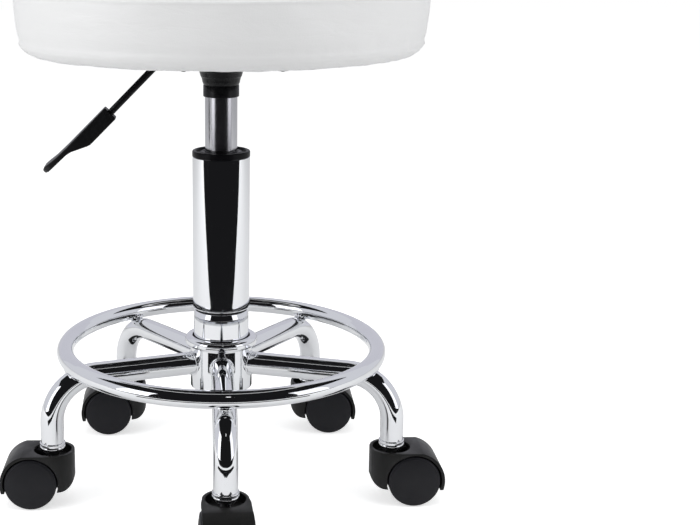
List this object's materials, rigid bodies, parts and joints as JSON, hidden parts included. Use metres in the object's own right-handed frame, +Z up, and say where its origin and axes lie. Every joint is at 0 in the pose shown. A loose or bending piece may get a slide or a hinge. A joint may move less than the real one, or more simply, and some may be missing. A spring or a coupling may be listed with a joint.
{
  "type": "rolling stylist stool",
  "caption": "Round padded salon stool on a height-adjustable gas spring, with a chromed legged base, foot ring, release lever and swivel casters.",
  "frame": {"origin": "on the floor under the column's axis", "axes": "+Z up along the column, -Y along the first leg, the release lever on the -X side"},
  "size_m": [0.3844, 0.3766, 0.47],
  "materials": {
    "chrome": "mirror chrome plate",
    "bright_steel": "zinc-plated steel",
    "satin_steel": "ground steel tube, fine vertical brushing",
    "black_plastic": "satin black moulded plastic",
    "black_paint": "satin black paint on steel",
    "black_nylon": "satin black nylon",
    "wheel_nylon": "fine-grained black nylon",
    "rubber": "matte",
    "white_cover": "white coated fabric with a faint leather grain",
    "foam": "open-cell foam",
    "plywood": "raw plywood",
    "dust_cloth": "black non-woven cloth"
  },
  "bodies": {
    "root": {"hub": "chrome", "column_tube": "chrome", "guide_sleeve": "black_plastic", "bearing_lower_race": "bright_steel", "bearing_balls": "bright_steel", "foot_ring": "chrome", "ring_welds": "chrome", "leg_sockets": "chrome", "grip_rings": "bright_steel", "leg_1": "chrome", "leg_2": "chrome", "leg_3": "chrome", "leg_4": "chrome", "leg_5": "chrome", "caster_stem_1": "bright_steel", "caster_stem_2": "bright_steel", "caster_stem_3": "bright_steel", "caster_stem_4": "bright_steel", "caster_stem_5": "bright_steel"},
    "spindle": {"piston_rod": "bright_steel", "piston": "bright_steel", "rod_bumper": "rubber", "bearing_upper_race": "bright_steel", "rod_clip": "bright_steel"},
    "seat": {"pressure_tube": "satin_steel", "tube_gland": "black_plastic", "valve_body": "bright_steel", "seat_socket": "black_paint", "mount_plate": "black_paint", "plate_bolts": "bright_steel", "t_nuts": "bright_steel", "seat_board": "plywood", "seat_foam": "foam", "seat_cover": "white_cover", "dust_cover": "dust_cloth", "cover_staples": "bright_steel", "lever_pin": "bright_steel"},
    "lever": {"lever_rod": "black_paint", "lever_handle": "black_plastic"},
    "button": {"release_button": "bright_steel"},
    "caster_1": {"caster_hood_1": "black_nylon", "caster_axle_1": "bright_steel"},
    "left_wheel_1": {"wheel_left_1": "wheel_nylon"},
    "right_wheel_1": {"wheel_right_1": "wheel_nylon"},
    "caster_2": {"caster_hood_2": "black_nylon", "caster_axle_2": "bright_steel"},
    "left_wheel_2": {"wheel_left_2": "wheel_nylon"},
    "right_wheel_2": {"wheel_right_2": "wheel_nylon"},
    "caster_3": {"caster_hood_3": "black_nylon", "caster_axle_3": "bright_steel"},
    "left_wheel_3": {"wheel_left_3": "wheel_nylon"},
    "right_wheel_3": {"wheel_right_3": "wheel_nylon"},
    "caster_4": {"caster_hood_4": "black_nylon", "caster_axle_4": "bright_steel"},
    "left_wheel_4": {"wheel_left_4": "wheel_nylon"},
    "right_wheel_4": {"wheel_right_4": "wheel_nylon"},
    "caster_5": {"caster_hood_5": "black_nylon", "caster_axle_5": "bright_steel"},
    "left_wheel_5": {"wheel_left_5": "wheel_nylon"},
    "right_wheel_5": {"wheel_right_5": "wheel_nylon"}
  },
  "joints": [
    {"name": "seat_swivel", "type": "hinge", "parent": "root", "child": "spindle", "pos_m": [0, 0, 0.088], "axis": [0, 0, 1], "continuous": true},
    {"name": "seat_lift", "type": "slide", "parent": "spindle", "child": "seat", "axis": [0, 0, 1], "range_m": [0, 0.14]},
    {"name": "lever_pull", "type": "hinge", "parent": "seat", "child": "lever", "pos_m": [-0.032, 0, 0.37605], "axis": [0, 1, 0], "range_deg": [0, 4.2], "stiffness_Nm_per_rad": 1.5, "springref_deg": -2.86},
    {"name": "button_press", "type": "slide", "parent": "seat", "child": "button", "axis": [0, 0, -1], "range_m": [0, 0.0025]},
    {"name": "caster_swivel_1", "type": "hinge", "parent": "root", "child": "caster_1", "pos_m": [0, -0.155, 0.03], "axis": [0, 0, 1], "continuous": true},
    {"name": "left_wheel_spin_1", "type": "hinge", "parent": "caster_1", "child": "left_wheel_1", "pos_m": [0.00063, -0.17299, 0.0225], "axis": [0.9994, 0.0349, 0], "continuous": true},
    {"name": "right_wheel_spin_1", "type": "hinge", "parent": "caster_1", "child": "right_wheel_1", "pos_m": [0.00063, -0.17299, 0.0225], "axis": [0.9994, 0.0349, 0], "continuous": true},
    {"name": "caster_swivel_2", "type": "hinge", "parent": "root", "child": "caster_2", "pos_m": [0.14741, -0.0479, 0.03], "axis": [0, 0, 1], "continuous": true},
    {"name": "left_wheel_spin_2", "type": "hinge", "parent": "caster_2", "child": "left_wheel_2", "pos_m": [0.16541, -0.04758, 0.0225], "axis": [-0.0175, 0.9998, 0], "continuous": true},
    {"name": "right_wheel_spin_2", "type": "hinge", "parent": "caster_2", "child": "right_wheel_2", "pos_m": [0.16541, -0.04758, 0.0225], "axis": [-0.0175, 0.9998, 0], "continuous": true},
    {"name": "caster_swivel_3", "type": "hinge", "parent": "root", "child": "caster_3", "pos_m": [0.09111, 0.1254, 0.03], "axis": [0, 0, 1], "continuous": true},
    {"name": "left_wheel_spin_3", "type": "hinge", "parent": "caster_3", "child": "left_wheel_3", "pos_m": [0.1091, 0.12508, 0.0225], "axis": [0.0175, 0.9998, 0], "continuous": true},
    {"name": "right_wheel_spin_3", "type": "hinge", "parent": "caster_3", "child": "right_wheel_3", "pos_m": [0.1091, 0.12508, 0.0225], "axis": [0.0175, 0.9998, 0], "continuous": true},
    {"name": "caster_swivel_4", "type": "hinge", "parent": "root", "child": "caster_4", "pos_m": [-0.09111, 0.1254, 0.03], "axis": [0, 0, 1], "continuous": true},
    {"name": "left_wheel_spin_4", "type": "hinge", "parent": "caster_4", "child": "left_wheel_4", "pos_m": [-0.1091, 0.12508, 0.0225], "axis": [0.0175, -0.9998, 0], "continuous": true},
    {"name": "right_wheel_spin_4", "type": "hinge", "parent": "caster_4", "child": "right_wheel_4", "pos_m": [-0.1091, 0.12508, 0.0225], "axis": [0.0175, -0.9998, 0], "continuous": true},
    {"name": "caster_swivel_5", "type": "hinge", "parent": "root", "child": "caster_5", "pos_m": [-0.14741, -0.0479, 0.03], "axis": [0, 0, 1], "continuous": true},
    {"name": "left_wheel_spin_5", "type": "hinge", "parent": "caster_5", "child": "left_wheel_5", "pos_m": [-0.16541, -0.04758, 0.0225], "axis": [-0.0175, -0.9998, 0], "continuous": true},
    {"name": "right_wheel_spin_5", "type": "hinge", "parent": "caster_5", "child": "right_wheel_5", "pos_m": [-0.16541, -0.04758, 0.0225], "axis": [-0.0175, -0.9998, 0], "continuous": true}
  ],
  "couplings": [
    {"joint": "button_press", "follows": "lever_pull", "m_per_rad": 0.034}
  ]
}
